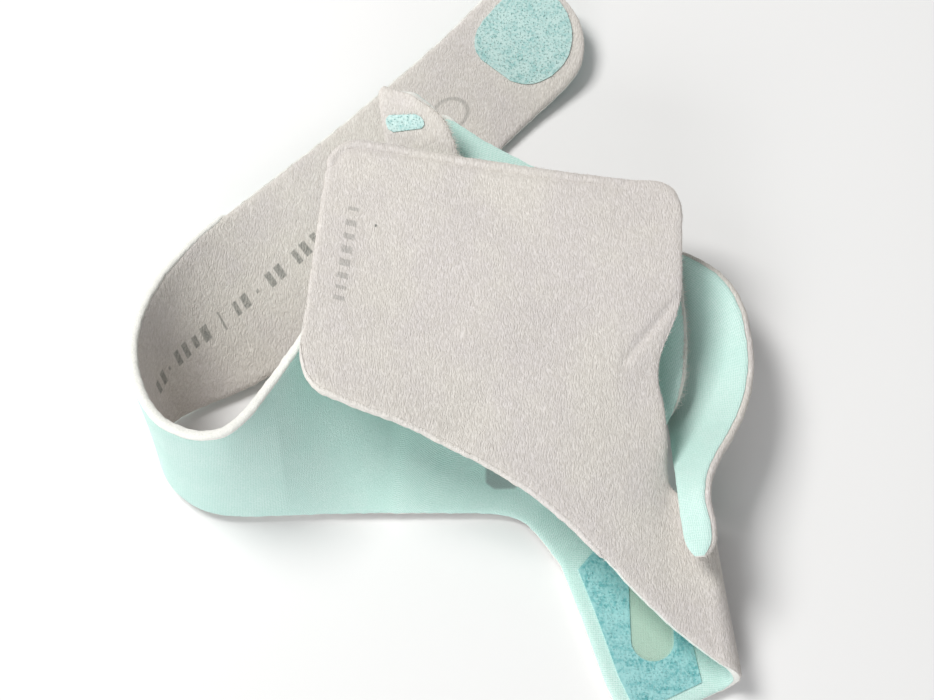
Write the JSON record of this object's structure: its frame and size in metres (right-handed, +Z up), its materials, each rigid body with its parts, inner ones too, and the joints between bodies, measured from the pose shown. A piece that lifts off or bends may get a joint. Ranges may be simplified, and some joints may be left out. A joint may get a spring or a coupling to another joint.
{
  "type": "fabric foot wrap",
  "caption": "Small fabric foot wrap of mint knit, foam and grey brushed pile, with a long loop strap, a folded flap, a short strap and hook patches.",
  "frame": {"origin": "centre of the bounding box's bottom face, on the plane the wrap lies on", "axes": "+Z up from that plane, +Y along the wrap's longest extent towards the loop strap's tip, +X towards the short strap"},
  "size_m": [0.131, 0.176, 0.0322],
  "materials": {
    "mint_knit": "smooth fine knit",
    "foam": "soft foam",
    "grey_pile": "brushed pile",
    "teal_hook": "hook fastener tape"
  },
  "bodies": {
    "wrap": {"lobe_knit": "mint_knit", "lobe_foam": "foam", "lobe_pile": "grey_pile", "lobe_hook_patch": "teal_hook", "panel_knit": "mint_knit", "panel_foam": "foam", "panel_pile": "grey_pile", "loop_knit": "mint_knit", "loop_foam": "foam", "loop_pile": "grey_pile", "fold_knit": "mint_knit", "fold_foam": "foam", "fold_pile": "grey_pile", "short_band_knit": "mint_knit", "short_band_foam": "foam", "short_band_pile": "grey_pile", "tab_root_knit": "mint_knit", "tab_root_foam": "foam", "tab_root_pile": "grey_pile"},
    "strap_run": {"run_knit": "mint_knit", "run_foam": "foam", "run_pile": "grey_pile"},
    "strap_tip": {"tip_knit": "mint_knit", "tip_foam": "foam", "tip_pile": "grey_pile", "tip_hook_patch": "teal_hook"},
    "flap": {"flap_knit": "mint_knit", "flap_foam": "foam", "flap_pile": "grey_pile"},
    "short_tip": {"short_tip_knit": "mint_knit", "short_tip_foam": "foam", "short_tip_pile": "grey_pile"},
    "tab_end": {"tab_knit": "mint_knit", "tab_foam": "foam", "tab_pile": "grey_pile", "tab_hook_patch": "teal_hook"}
  },
  "joints": [
    {"name": "strap_loop_flex", "type": "hinge", "parent": "wrap", "child": "strap_run", "pos_m": [-0.06175, -0.0163, 0.01348], "axis": [-0.2058, 0.3368, 0.9188], "range_deg": [-8, 35], "stiffness_Nm_per_rad": 0.02},
    {"name": "strap_tip_flex", "type": "hinge", "parent": "strap_run", "child": "strap_tip", "pos_m": [0.00347, 0.05767, 0.00321], "axis": [0.7827, -0.6087, -0.1298], "range_deg": [-2, 45], "stiffness_Nm_per_rad": 0.01},
    {"name": "flap_flex", "type": "hinge", "parent": "wrap", "child": "flap", "pos_m": [0.04738, -0.05618, 0.01227], "axis": [-0.0254, 0.9924, 0.1204], "range_deg": [0, 40], "stiffness_Nm_per_rad": 0.03},
    {"name": "short_tip_flex", "type": "hinge", "parent": "wrap", "child": "short_tip", "pos_m": [0.05059, -0.04088, 0.01748], "axis": [-0.65, 0.4392, -0.6201], "range_deg": [0, 60], "stiffness_Nm_per_rad": 0.002},
    {"name": "tab_flex", "type": "hinge", "parent": "wrap", "child": "tab_end", "pos_m": [-0.0059, 0.03452, 0.02462], "axis": [0.9873, 0.1567, 0.0248], "range_deg": [-5, 30], "stiffness_Nm_per_rad": 0.004}
  ]
}
